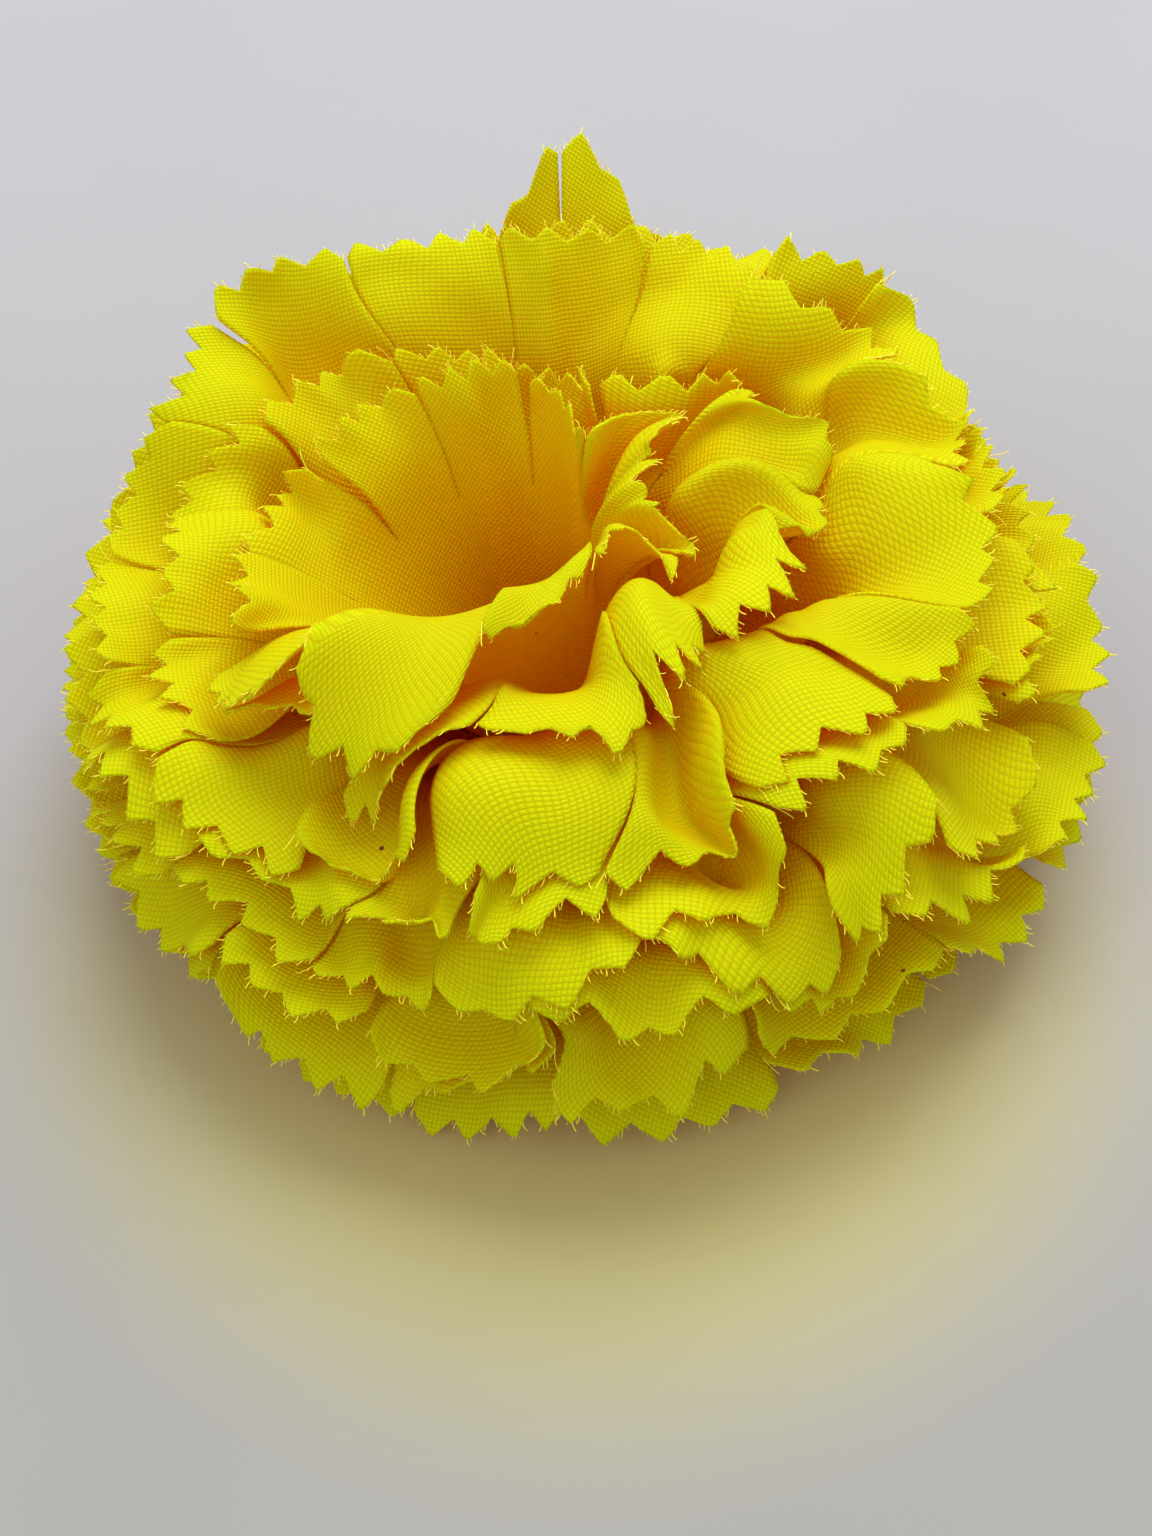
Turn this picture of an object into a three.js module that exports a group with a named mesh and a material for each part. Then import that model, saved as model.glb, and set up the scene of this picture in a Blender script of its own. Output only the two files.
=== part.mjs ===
// Fabric carnation flower head: eight die-cut discs of woven fabric, pinked round the rim and slit
// into petals, threaded on a plastic pin that holds them in a plastic calyx. Millimetres, +Z up,
// bloom facing up, standing on the calyx.
//
// Every disc is shaped by one family of nested curves. A curve leaves the pin level, turns up to the
// disc's lean and droops towards its rim. Ruffles and petals move the fabric between its own curve
// and its neighbours' curves, never past half way, so the discs nest and can't cross.
import * as THREE from "three";

// ---- Driving dimensions, in millimetres and degrees ----
const FABRIC = 0.6; // thickness that the stiffened fabric is modelled with
const STACK_PITCH = 0.95; // from one disc to the next along the pin, and between their nested collars
const FIRST_DISC_Z = 7.0; // height of the lowest disc where the pin passes through it
const TOOTH_DEPTH = 2.2; // depth of the pinked teeth
const TEETH_PER_PETAL = 4;
const SLIT_LENGTH = 13; // how far the slits between petals run in from the rim
const SLIT_SHARE = 0.07; // share of a petal's width that the slit takes at the rim
const UNEVEN = 0.14; // how far a slit may be cut off its even place, in petals
const RISE_LENGTH = 9; // length of fabric over which a disc turns from level to its lean
const DROOP_FROM = 0.35; // share of the radius where the droop begins
const CLEARANCE = 0.9; // air left between the surfaces of neighbouring discs
const SEAT_GAP = 0.3; // air where a plastic piece touches a disc

const PIN = { shank: 1.5, head: 3.3, dome: 1.6, tail: 3.2 };
const PIN_HOLE = 1.95; // hole at the centre of each disc
const CALYX = { foot: 8, waist: 6, rim: 9, flange: 1.2 };
const CALYX_TOP = FIRST_DISC_Z - FABRIC / 2 - SEAT_GAP;

// The lean of each disc above the horizontal, every 30 degrees round the flower from +X, and the droop:
// how many degrees of it are lost at the rim. The discs lean out flat on the -X side, where the bloom
// opens into a funnel, and stand up elsewhere; in front and in the middle they bend over at the rim.
// longer is how much farther a disc reaches on one side, the azimuth of the longest place and how far
// to each side that fades. turn is the azimuth of the first slit. ruffle and tumble are in shares of
// the space between discs: ruffle waves the whole rim, tumble sets each petal apart.
const DISCS = [
  { radius: 44.5, longer: [0, 0, 30], petals: 16, turn: 3, ruffle: 0.25, tumble: 0.5,
    lean: [8, 8, 9, 10, 9, 8, 8, 8, 8, 9, 9, 8],
    droop: [48, 46, 42, 42, 44, 46, 48, 48, 46, 44, 44, 46] },
  { radius: 47, longer: [3, 355, 30], petals: 17, turn: 14, ruffle: 0.3, tumble: 0.6,
    lean: [16, 17, 19, 22, 19, 16, 14, 16, 22, 25, 24, 19],
    droop: [36, 34, 28, 22, 28, 36, 42, 46, 54, 56, 54, 46] },
  { radius: 48, longer: [3, 0, 30], petals: 18, turn: 8, ruffle: 0.42, tumble: 0.7,
    lean: [26, 28, 31, 34, 31, 25, 20, 23, 32, 36, 36, 31],
    droop: [32, 28, 20, 14, 20, 30, 40, 48, 66, 70, 66, 46] },
  { radius: 48, longer: [9, 90, 8], petals: 19, turn: 14, ruffle: 0.42, tumble: 0.8,
    lean: [38, 40, 44, 45, 41, 34, 26, 29, 41, 47, 48, 43],
    droop: [36, 32, 18, 6, 16, 28, 40, 50, 78, 82, 80, 56] },
  { radius: 48, longer: [4, 46, 12], petals: 18, turn: 2, ruffle: 0.42, tumble: 0.85,
    lean: [50, 52, 54, 54, 50, 43, 32, 34, 49, 56, 60, 55],
    droop: [46, 40, 20, 6, 18, 26, 38, 50, 88, 92, 98, 70] },
  { radius: 47, longer: [5, 140, 16], petals: 17, turn: 9, ruffle: 0.42, tumble: 0.85,
    lean: [66, 66, 64, 62, 56, 50, 37, 39, 56, 66, 72, 72],
    droop: [64, 54, 28, 14, 20, 30, 36, 48, 94, 104, 110, 90] },
  { radius: 43, longer: [-8, 95, 45], petals: 14, turn: 38, ruffle: 0.4, tumble: 0.85,
    lean: [92, 94, 94, 88, 71, 59, 45, 47, 67, 83, 91, 94],
    droop: [118, 98, 66, 34, 34, 37, 40, 46, 96, 110, 122, 124] },
  { radius: 36, longer: [12, 236, 34], petals: 11, turn: 226, ruffle: 0.36, tumble: 0.8,
    lean: [120, 122, 114, 102, 82, 68, 56, 56, 82, 104, 114, 118],
    droop: [130, 124, 90, 46, 38, 40, 42, 50, 134, 134, 118, 124] },
];
const FLOOR_CURVE = { lean: 3, droop: 52 }; // the curve that the lowest disc may not pass
const CENTRE_TURN = 16; // degrees that the innermost disc may lean on inwards, past its own lean
const SWELL = { degrees: 7, waves: [7, 11, 16], drift: [0.8, -0.6, 0.9] }; // waves that discs share

// Petals stand apart less behind the funnel, where they lie in a smooth wall: the azimuth where they
// are the stillest, how far to each side that fades, and the share of the tumble that it takes.
const STILL = { middle: 150, spread: 75, share: 0.7 };

// Eddies: places where the bloom is crushed. All the fabric near the centre of one is turned about
// it, most at the centre and none at its edge, so the discs keep their order. Each is its azimuth and
// elevation seen from the pin's top, distance from there, size, and turn along and across the petals.
const EDDIES = [
  [28, 56, 25, 13, -45, 25],
  [340, 44, 27, 13, -55, -25],
  [310, 58, 27, 12, -42, -8],
  [60, 46, 27, 12, 40, -20],
  [275, 30, 33, 13, -45, 25],
  [250, 28, 36, 11, 45, 30],
  [300, 26, 35, 12, 50, -30],
  [325, 14, 38, 12, -50, 30],
  [350, 28, 35, 12, 28, 20],
  [12, 34, 33, 12, -24, 15],
  [28, 22, 38, 12, 65, 15],
  [5, 14, 38, 11, -60, -15],
  [50, 32, 36, 12, 50, -20],
  [128, 32, 38, 12, -35, 15],
  [152, 26, 36, 12, 40, -15],
  [205, 10, 40, 12, 40, 20],
  [232, 8, 40, 12, -45, -20],
  [262, 10, 39, 12, 50, 20],
  [295, 4, 40, 12, -45, 20],
];

const radians = THREE.MathUtils.degToRad;
const { clamp, lerp, smoothstep } = THREE.MathUtils;

// A repeatable draw between 0 and 1 for two whole numbers.
function draw(a, b) {
  const x = Math.sin(a * 127.1 + b * 311.7 + 4.7) * 43758.5453;
  return x - Math.floor(x);
}

// A value given every 30 degrees, joined by a smooth closed curve.
function around(values, azimuth) {
  const n = values.length;
  const x = (((azimuth / (2 * Math.PI)) % 1) + 1) % 1 * n;
  const i = Math.floor(x);
  const f = x - i;
  const [p, q, r, s] = [-1, 0, 1, 2].map((k) => values[(i + k + n) % n]);
  return q + 0.5 * f * (r - p + f * (2 * p - 5 * q + 4 * r - s + f * (3 * (q - r) + s - p)));
}

// ---- The family of nested curves. level 0 is the lowest disc, 1 the next, and so on ----
const TOP = DISCS.length - 1;

// Waves that are nearly alike in neighbouring discs, so these lie in each other's folds.
function swell(index, azimuth) {
  let sum = 0;
  SWELL.waves.forEach((waves, k) => {
    sum += [1, 0.8, 0.6][k] * Math.cos(waves * azimuth + SWELL.drift[k] * index + 2 * k);
  });
  return SWELL.degrees * sum;
}

function discLean(index, azimuth) {
  if (index < 0) return FLOOR_CURVE.lean;
  const lean = around(DISCS[Math.min(index, TOP)].lean, azimuth);
  return index > TOP ? lean + CENTRE_TURN : lean;
}

function discDroop(index, azimuth) {
  if (index < 0) return FLOOR_CURVE.droop;
  return around(DISCS[Math.min(index, TOP)].droop, azimuth) + swell(index, azimuth);
}

// A bell round the flower: 1 at the azimuth of its middle, less with every degree to either side.
function bell(azimuth, middle, spread) {
  const turn = 2 * Math.PI;
  const aside = THREE.MathUtils.euclideanModulo(azimuth - radians(middle) + turn / 2, turn) - turn / 2;
  return Math.exp(-((aside / radians(spread)) ** 2));
}

// How far a disc's rim is from the pin, along the fabric.
function discReach(index, azimuth) {
  const { radius, longer } = DISCS[clamp(index, 0, TOP)];
  const [length, middle, spread] = longer;
  return radius + length * bell(azimuth, middle, spread);
}

// The curve of a level at an azimuth: distance from the pin's axis and height, after a length of
// fabric, worked out by walking along it.
function curvePoint(level, length, azimuth) {
  const below = Math.floor(level);
  const between = (value) => lerp(value(below, azimuth), value(below + 1, azimuth), level - below);
  const lean = radians(between(discLean));
  const droop = radians(between(discDroop));
  const reach = between(discReach);
  const collar = PIN.head + 0.5 + (TOP - level) * STACK_PITCH;
  const steps = 22;
  let rho = 0;
  let z = FIRST_DISC_Z + level * STACK_PITCH;
  for (let k = 0; k < steps; k++) {
    const s = ((k + 0.5) / steps) * length;
    const rise = smoothstep(s, collar, collar + RISE_LENGTH);
    const tip = Math.max(0, (s / reach - DROOP_FROM) / (1 - DROOP_FROM));
    const slope = lean * rise - droop * tip * tip;
    rho += (Math.cos(slope) * length) / steps;
    z += (Math.sin(slope) * length) / steps;
  }
  return new THREE.Vector2(rho, z);
}

// Turns a point with every eddy that it lies in, one after another.
function crush(point) {
  const pinTop = new THREE.Vector3(0, 0, FIRST_DISC_Z + TOP * STACK_PITCH);
  for (const [azimuth, elevation, distance, size, along, across] of EDDIES) {
    const outwards = new THREE.Vector3(1, 0, 0)
      .applyAxisAngle(new THREE.Vector3(0, -1, 0), radians(elevation))
      .applyAxisAngle(new THREE.Vector3(0, 0, 1), radians(azimuth));
    const sideways = new THREE.Vector3(0, 0, 1).cross(outwards).normalize();
    const centre = outwards.clone().multiplyScalar(distance).add(pinTop);
    const offset = point.clone().sub(centre);
    const fade = Math.max(0, 1 - offset.lengthSq() / (size * size)) ** 2;
    offset.applyAxisAngle(outwards, radians(along) * fade);
    offset.applyAxisAngle(sideways, radians(across) * fade);
    point.copy(centre).add(offset);
  }
  return point;
}

// How far a disc may move from its own curve before it is too near its neighbour, in levels. What
// counts is the space square to the fabric.
function freedom(index, length, azimuth, side) {
  const here = curvePoint(index, length, azimuth);
  const along = curvePoint(index, length * 1.02, azimuth).sub(here).normalize();
  const apart = Math.abs(curvePoint(index + side, length, azimuth).sub(here).cross(along));
  return Math.max(0, 0.5 - (FABRIC + CLEARANCE) / 2 / Math.max(apart, 1e-6));
}

// ---- One disc ----
// How a disc is laid out round the flower, so that its petals come out nearly alike in width wherever
// the bloom is narrow or wide: the share of the rim, measured square to the petals, at each azimuth.
function layOut(index) {
  const start = radians(DISCS[index].turn);
  const steps = 360;
  const rimPoint = (k, shorter) => {
    const azimuth = start + (k / steps) * 2 * Math.PI;
    const { x: rho, y: z } = curvePoint(index, discReach(index, azimuth) - shorter, azimuth);
    return new THREE.Vector3(rho * Math.cos(azimuth), rho * Math.sin(azimuth), z);
  };
  const shares = [0];
  for (let k = 0; k < steps; k++) {
    const along = rimPoint(k + 1, 0).sub(rimPoint(k, 0));
    const outwards = rimPoint(k + 0.5, 0).sub(rimPoint(k + 0.5, 1));
    shares.push(shares[k] + along.cross(outwards).length());
  }
  return shares.map((share) => share / shares[steps]);
}

const LAYOUTS = DISCS.map((_, index) => layOut(index));

// The azimuth of a place over a petal's width, from 0 to 1.
function petalAzimuth(index, petal, place) {
  const { petals, turn } = DISCS[index];
  const cut = (p) => (p + UNEVEN * (2 * draw(index * 60 + (p % petals), 51) - 1)) / petals;
  const share = lerp(cut(petal), cut(petal + 1), place);
  const whole = Math.floor(share);
  const shares = LAYOUTS[index];
  const after = shares.findIndex((value) => value > share - whole);
  const step = after - 1 + (share - whole - shares[after - 1]) / (shares[after] - shares[after - 1]);
  return radians(turn) + 2 * Math.PI * (whole + step / (shares.length - 1));
}

// Waves round the whole disc: three wavelengths of seeded phase, between -1 and 1.
function ruffle(index, azimuth) {
  const { petals } = DISCS[index];
  let sum = 0;
  for (let k = 0; k < 3; k++) {
    const waves = Math.round(petals * [0.25, 0.44, 0.69][k]);
    sum += [0.5, 0.7, 0.45][k] * Math.cos(waves * azimuth + 2 * Math.PI * draw(index, 40 + k));
  }
  return sum / 1.2;
}

// How a petal stands apart from its disc's curve: across is -1 to 1 over its width, out is 0 at the
// foot of its slits and 1 at its teeth.
function tumble(index, petal, across, out) {
  const [lift, twist, cup, curl] = [1, 2, 3, 4].map((k) => 2 * draw(index * 50 + petal, k) - 1);
  const alternate = petal % 2 ? 0.35 : -0.35;
  return (
    out * (0.6 * lift + alternate + 0.7 * twist * across) +
    out * (0.5 + 0.8 * cup) * (across * across - 0.4) +
    out * out * out * 1.1 * curl
  );
}

// The point of a disc's middle surface that its flat pattern has at an azimuth and a radius.
function fabricPoint(index, azimuth, r, petal, across) {
  const { ruffle: waved, tumble: tumbled } = DISCS[index];
  const reach = discReach(index, azimuth);
  const out = clamp((r - reach + SLIT_LENGTH) / SLIT_LENGTH, 0, 1);
  const growth = smoothstep(r, 7, reach * 0.8);
  const lively = 1 - STILL.share * bell(azimuth, STILL.middle, STILL.spread);
  const wanted =
    waved * growth * ruffle(index, azimuth) + tumbled * lively * tumble(index, petal, across, out);
  const limit = freedom(index, r, azimuth, wanted > 0 ? 1 : -1);
  const shift = limit > 1e-4 ? limit * Math.tanh(wanted / limit) : 0;
  const { x: rho, y: z } = curvePoint(index + shift, r, azimuth);
  return crush(new THREE.Vector3(rho * Math.cos(azimuth), rho * Math.sin(azimuth), z));
}

// Joins two rows of vertices, given as lists of [vertex, place] with place rising, by triangles.
function stitch(inner, outer, faces) {
  let i = 0;
  let j = 0;
  while (i < inner.length - 1 || j < outer.length - 1) {
    const nextIn = i < inner.length - 1 ? inner[i + 1][1] + inner[i][1] : Infinity;
    const nextOut = j < outer.length - 1 ? outer[j + 1][1] + outer[j][1] : Infinity;
    if (nextIn <= nextOut) {
      faces.push([inner[i][0], outer[j][0], inner[i + 1][0]]);
      i++;
    } else {
      faces.push([inner[i][0], outer[j][0], outer[j + 1][0]]);
      j++;
    }
  }
}

// Gives an open sheet its thickness: both faces share one triangulation, walls close its edges.
function thicken(points, faces) {
  const normals = points.map(() => new THREE.Vector3());
  for (const [a, b, c] of faces) {
    const n = new THREE.Vector3()
      .subVectors(points[b], points[a])
      .cross(new THREE.Vector3().subVectors(points[c], points[a]));
    for (const k of [a, b, c]) normals[k].add(n);
  }
  const count = points.length;
  const position = new Float32Array(count * 6);
  points.forEach((p, k) => {
    const n = normals[k].normalize();
    p.clone().addScaledVector(n, FABRIC / 2).toArray(position, k * 3);
    p.clone().addScaledVector(n, -FABRIC / 2).toArray(position, (count + k) * 3);
  });
  const open = new Map();
  for (const [a, b, c] of faces)
    for (const [p, q] of [[a, b], [b, c], [c, a]]) {
      const back = `${q},${p}`;
      if (open.has(back)) open.delete(back);
      else open.set(`${p},${q}`, [p, q]);
    }
  const index = [];
  for (const [a, b, c] of faces) index.push(a, b, c, count + c, count + b, count + a);
  for (const [p, q] of open.values()) index.push(q, p, count + p, q, count + p, count + q);
  return new THREE.BufferGeometry()
    .setAttribute("position", new THREE.BufferAttribute(position, 3))
    .setIndex(index);
}

function discGeometry(index) {
  const { petals } = DISCS[index];
  const points = [];
  const faces = [];
  const add = (azimuth, r, petal, across) =>
    points.push(fabricPoint(index, azimuth, r, petal, across)) - 1;
  const slitFoot = (azimuth) => discReach(index, azimuth) - SLIT_LENGTH;

  // A whole ring of the disc, inside the slits, as [vertex, place in petals] with its first repeated.
  const ring = (radiusAt, perPetal) => {
    const row = [];
    for (let k = 0; k < petals * perPetal; k++) {
      const petal = Math.floor(k / perPetal);
      const azimuth = petalAzimuth(index, petal, k / perPetal - petal);
      row.push([add(azimuth, radiusAt(azimuth), 0, 0), k / perPetal]);
    }
    return [...row, [row[0][0], petals]];
  };
  const collar = PIN.head + 0.5 + (TOP - index) * STACK_PITCH;
  const risen = PIN.head + RISE_LENGTH;
  const rings = [
    ring(() => PIN_HOLE, 1),
    ring(() => collar, 2),
    ring((azimuth) => lerp(risen, slitFoot(azimuth), 0.1), 2),
    ring((azimuth) => lerp(risen, slitFoot(azimuth), 0.55), 4),
    ring(slitFoot, 4),
  ];
  for (let k = 1; k < rings.length; k++) stitch(rings[k - 1], rings[k], faces);

  // The petals, each with its own edges from the foot of its slits outwards.
  const foot = rings.at(-1);
  for (let petal = 0; petal < petals; petal++) {
    const row = (out, places) =>
      places.map((place) => {
        const across = 2 * place - 1;
        const reach = discReach(index, petalAzimuth(index, petal, place));
        const azimuth = petalAzimuth(index, petal, 0.5 + 0.5 * across * (1 - SLIT_SHARE * out));
        return [add(azimuth, reach - SLIT_LENGTH * (1 - out), petal, across), place];
      });
    const quarters = [0, 0.25, 0.5, 0.75, 1];
    let inner = foot.slice(petal * 4, petal * 4 + 5).map(([vertex], k) => [vertex, quarters[k]]);
    for (const out of [0.3, 0.57, 1 - TOOTH_DEPTH / SLIT_LENGTH]) {
      const outer = row(out, quarters);
      stitch(inner, outer, faces);
      inner = outer;
    }
    const tips = row(1, quarters.slice(1).map((q) => q - 0.5 / TEETH_PER_PETAL));
    tips.forEach(([tip], k) => faces.push([inner[k][0], tip, inner[k + 1][0]]));
  }
  return thicken(points, faces);
}

// ---- The plastic pieces, turned about the pin's axis ----
function turned(profile, sides) {
  return new THREE.LatheGeometry(profile.map(([x, z]) => new THREE.Vector2(x, z)), sides)
    .rotateX(Math.PI / 2);
}

function pinGeometry() {
  const seat = FIRST_DISC_Z + TOP * STACK_PITCH + FABRIC / 2 + SEAT_GAP;
  return turned([
    [0, PIN.tail],
    [PIN.shank - 0.4, PIN.tail],
    [PIN.shank, PIN.tail + 0.6],
    [PIN.shank, seat],
    [PIN.head, seat],
    [PIN.head, seat + PIN.dome * 0.4],
    [PIN.head * 0.75, seat + PIN.dome * 0.85],
    [0, seat + PIN.dome],
  ], 24);
}

function calyxGeometry() {
  const throat = PIN.shank + 0.35;
  const boreEnd = PIN.tail - 0.5;
  return turned([
    [0, 0],
    [CALYX.foot, 0],
    [CALYX.foot, CALYX.flange],
    [CALYX.waist, CALYX.flange + 0.8],
    [CALYX.waist, CALYX_TOP - 2.2],
    [CALYX.rim, CALYX_TOP - 0.6],
    [CALYX.rim, CALYX_TOP],
    [throat, CALYX_TOP],
    [throat, boreEnd],
    [0, boreEnd],
  ], 32);
}

const fabric = new THREE.MeshStandardMaterial({ color: 0xe6dc08, roughness: 0.75, metalness: 0 });
const plastic = new THREE.MeshStandardMaterial({ color: 0x9fb04a, roughness: 0.45, metalness: 0 });

const flower = new THREE.Group();

function place(name, geometry, material) {
  const mesh = new THREE.Mesh(geometry, material);
  mesh.name = name;
  flower.add(mesh);
}

DISCS.forEach((_, index) => place(`petal_disc_${index + 1}`, discGeometry(index), fabric));
place("centre_pin", pinGeometry(), plastic);
place("calyx", calyxGeometry(), plastic);

// The origin is the bottom centre of the flower's box, so the pin stands a little off it.
const box = new THREE.Box3().setFromObject(flower);
flower.position.set(-(box.min.x + box.max.x) / 2, -(box.min.y + box.max.y) / 2, 0);

export default flower;
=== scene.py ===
"""Head of an artificial carnation: pinked and slit discs of woven cloth, pinned to a plastic calyx."""

import logging
import math
from dataclasses import dataclass, field
from enum import Enum

import bpy
import numpy as np
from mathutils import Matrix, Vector


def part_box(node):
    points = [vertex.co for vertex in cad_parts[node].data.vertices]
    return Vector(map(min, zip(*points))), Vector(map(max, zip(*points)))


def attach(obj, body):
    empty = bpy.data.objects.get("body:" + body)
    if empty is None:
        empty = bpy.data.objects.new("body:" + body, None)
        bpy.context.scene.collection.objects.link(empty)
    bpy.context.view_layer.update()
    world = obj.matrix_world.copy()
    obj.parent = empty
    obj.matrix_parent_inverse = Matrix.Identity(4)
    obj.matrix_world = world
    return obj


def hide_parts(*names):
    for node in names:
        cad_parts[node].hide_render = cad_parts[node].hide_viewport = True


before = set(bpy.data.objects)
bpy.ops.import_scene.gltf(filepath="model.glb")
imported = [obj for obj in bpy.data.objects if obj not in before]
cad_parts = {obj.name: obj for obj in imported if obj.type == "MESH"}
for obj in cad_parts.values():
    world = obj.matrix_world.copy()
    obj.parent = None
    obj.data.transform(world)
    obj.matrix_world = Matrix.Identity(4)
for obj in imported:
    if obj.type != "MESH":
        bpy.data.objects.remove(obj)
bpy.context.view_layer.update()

LOG = logging.getLogger("carnation")
MM = 0.001
FOOT_TOLERANCE = 0.1  # mm: a point this near the foot of a slit counts as on the petal
SLOT_PLASTIC = "calyx_plastic"


# ---------------------------------------------------------------- the cut discs


@dataclass(frozen=True)
class DiscPlan:
    """One disc: its cut, and the lean and droop of its cloth every 30 degrees round the flower."""

    radius: float
    longer: tuple[float, float, float]
    petals: int
    turn: float
    ruffle: float
    tumble: float
    lean: tuple[float, ...]
    droop: tuple[float, ...]


@dataclass(frozen=True)
class Eddy:
    """A place where the bloom is crushed, seen from the top of the pin, in degrees and millimetres."""

    azimuth: float
    elevation: float
    distance: float
    size: float
    along: float
    across: float


DISCS: tuple[DiscPlan, ...] = (
    DiscPlan(44.5, (0, 0, 30), 16, 3, 0.25, 0.5,
             (8, 8, 9, 10, 9, 8, 8, 8, 8, 9, 9, 8),
             (48, 46, 42, 42, 44, 46, 48, 48, 46, 44, 44, 46)),
    DiscPlan(47, (3, 355, 30), 17, 14, 0.3, 0.6,
             (16, 17, 19, 22, 19, 16, 14, 16, 22, 25, 24, 19),
             (36, 34, 28, 22, 28, 36, 42, 46, 54, 56, 54, 46)),
    DiscPlan(48, (3, 0, 30), 18, 8, 0.42, 0.7,
             (26, 28, 31, 34, 31, 25, 20, 23, 32, 36, 36, 31),
             (32, 28, 20, 14, 20, 30, 40, 48, 66, 70, 66, 46)),
    DiscPlan(48, (9, 90, 8), 19, 14, 0.42, 0.8,
             (38, 40, 44, 45, 41, 34, 26, 29, 41, 47, 48, 43),
             (36, 32, 18, 6, 16, 28, 40, 50, 78, 82, 80, 56)),
    DiscPlan(48, (4, 46, 12), 18, 2, 0.42, 0.85,
             (50, 52, 54, 54, 50, 43, 32, 34, 49, 56, 60, 55),
             (46, 40, 20, 6, 18, 26, 38, 50, 88, 92, 98, 70)),
    DiscPlan(47, (5, 140, 16), 17, 9, 0.42, 0.85,
             (66, 66, 64, 62, 56, 50, 37, 39, 56, 66, 72, 72),
             (64, 54, 28, 14, 20, 30, 36, 48, 94, 104, 110, 90)),
    DiscPlan(43, (-8, 95, 45), 14, 38, 0.4, 0.85,
             (92, 94, 94, 88, 71, 59, 45, 47, 67, 83, 91, 94),
             (118, 98, 66, 34, 34, 37, 40, 46, 96, 110, 122, 124)),
    DiscPlan(36, (12, 236, 34), 11, 226, 0.36, 0.8,
             (120, 122, 114, 102, 82, 68, 56, 56, 82, 104, 114, 118),
             (130, 124, 90, 46, 38, 40, 42, 50, 134, 134, 118, 124)),
)

EDDIES: tuple[Eddy, ...] = (
    Eddy(28, 56, 25, 13, -45, 25),
    Eddy(340, 44, 27, 13, -55, -25),
    Eddy(310, 58, 27, 12, -42, -8),
    Eddy(60, 46, 27, 12, 40, -20),
    Eddy(275, 30, 33, 13, -45, 25),
    Eddy(250, 28, 36, 11, 45, 30),
    Eddy(300, 26, 35, 12, 50, -30),
    Eddy(325, 14, 38, 12, -50, 30),
    Eddy(350, 28, 35, 12, 28, 20),
    Eddy(12, 34, 33, 12, -24, 15),
    Eddy(28, 22, 38, 12, 65, 15),
    Eddy(5, 14, 38, 11, -60, -15),
    Eddy(50, 32, 36, 12, 50, -20),
    Eddy(128, 32, 38, 12, -35, 15),
    Eddy(152, 26, 36, 12, 40, -15),
    Eddy(205, 10, 40, 12, 40, 20),
    Eddy(232, 8, 40, 12, -45, -20),
    Eddy(262, 10, 39, 12, 50, 20),
    Eddy(295, 4, 40, 12, -45, 20),
)


def draw(a: float, b: float) -> float:
    """A repeatable draw between 0 and 1 for two numbers."""
    x = math.sin(a * 127.1 + b * 311.7 + 4.7) * 43758.5453
    return x - math.floor(x)


def smoothstep(x: np.ndarray, low: float | np.ndarray, high: float | np.ndarray) -> np.ndarray:
    """The usual smooth ramp from 0 at low to 1 at high."""
    t = np.clip((x - low) / (high - low), 0, 1)
    return t * t * (3 - 2 * t)


def around(values: tuple[float, ...], azimuth: np.ndarray) -> np.ndarray:
    """A value given every 30 degrees, joined by a smooth closed curve.

    Args:
        values: the value at each step round the flower, from +X.
        azimuth: where to read it, in radians.

    Returns:
        The value at each azimuth.
    """
    v = np.asarray(values, float)
    n = len(v)
    x = (azimuth / (2 * math.pi)) % 1.0 * n
    i = np.floor(x).astype(int)
    f = x - i
    p, q, r, s = (v[(i + k) % n] for k in (-1, 0, 1, 2))
    return q + 0.5 * f * (r - p + f * (2 * p - 5 * q + 4 * r - s + f * (3 * (q - r) + s - p)))


def turned(points: np.ndarray, axis: np.ndarray, angle: np.ndarray) -> np.ndarray:
    """Points turned about one axis through the origin, each by its own angle (Rodrigues' formula)."""
    c, s = np.cos(angle)[:, None], np.sin(angle)[:, None]
    return points * c + np.cross(axis, points) * s + axis * (points @ axis)[:, None] * (1 - c)


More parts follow.
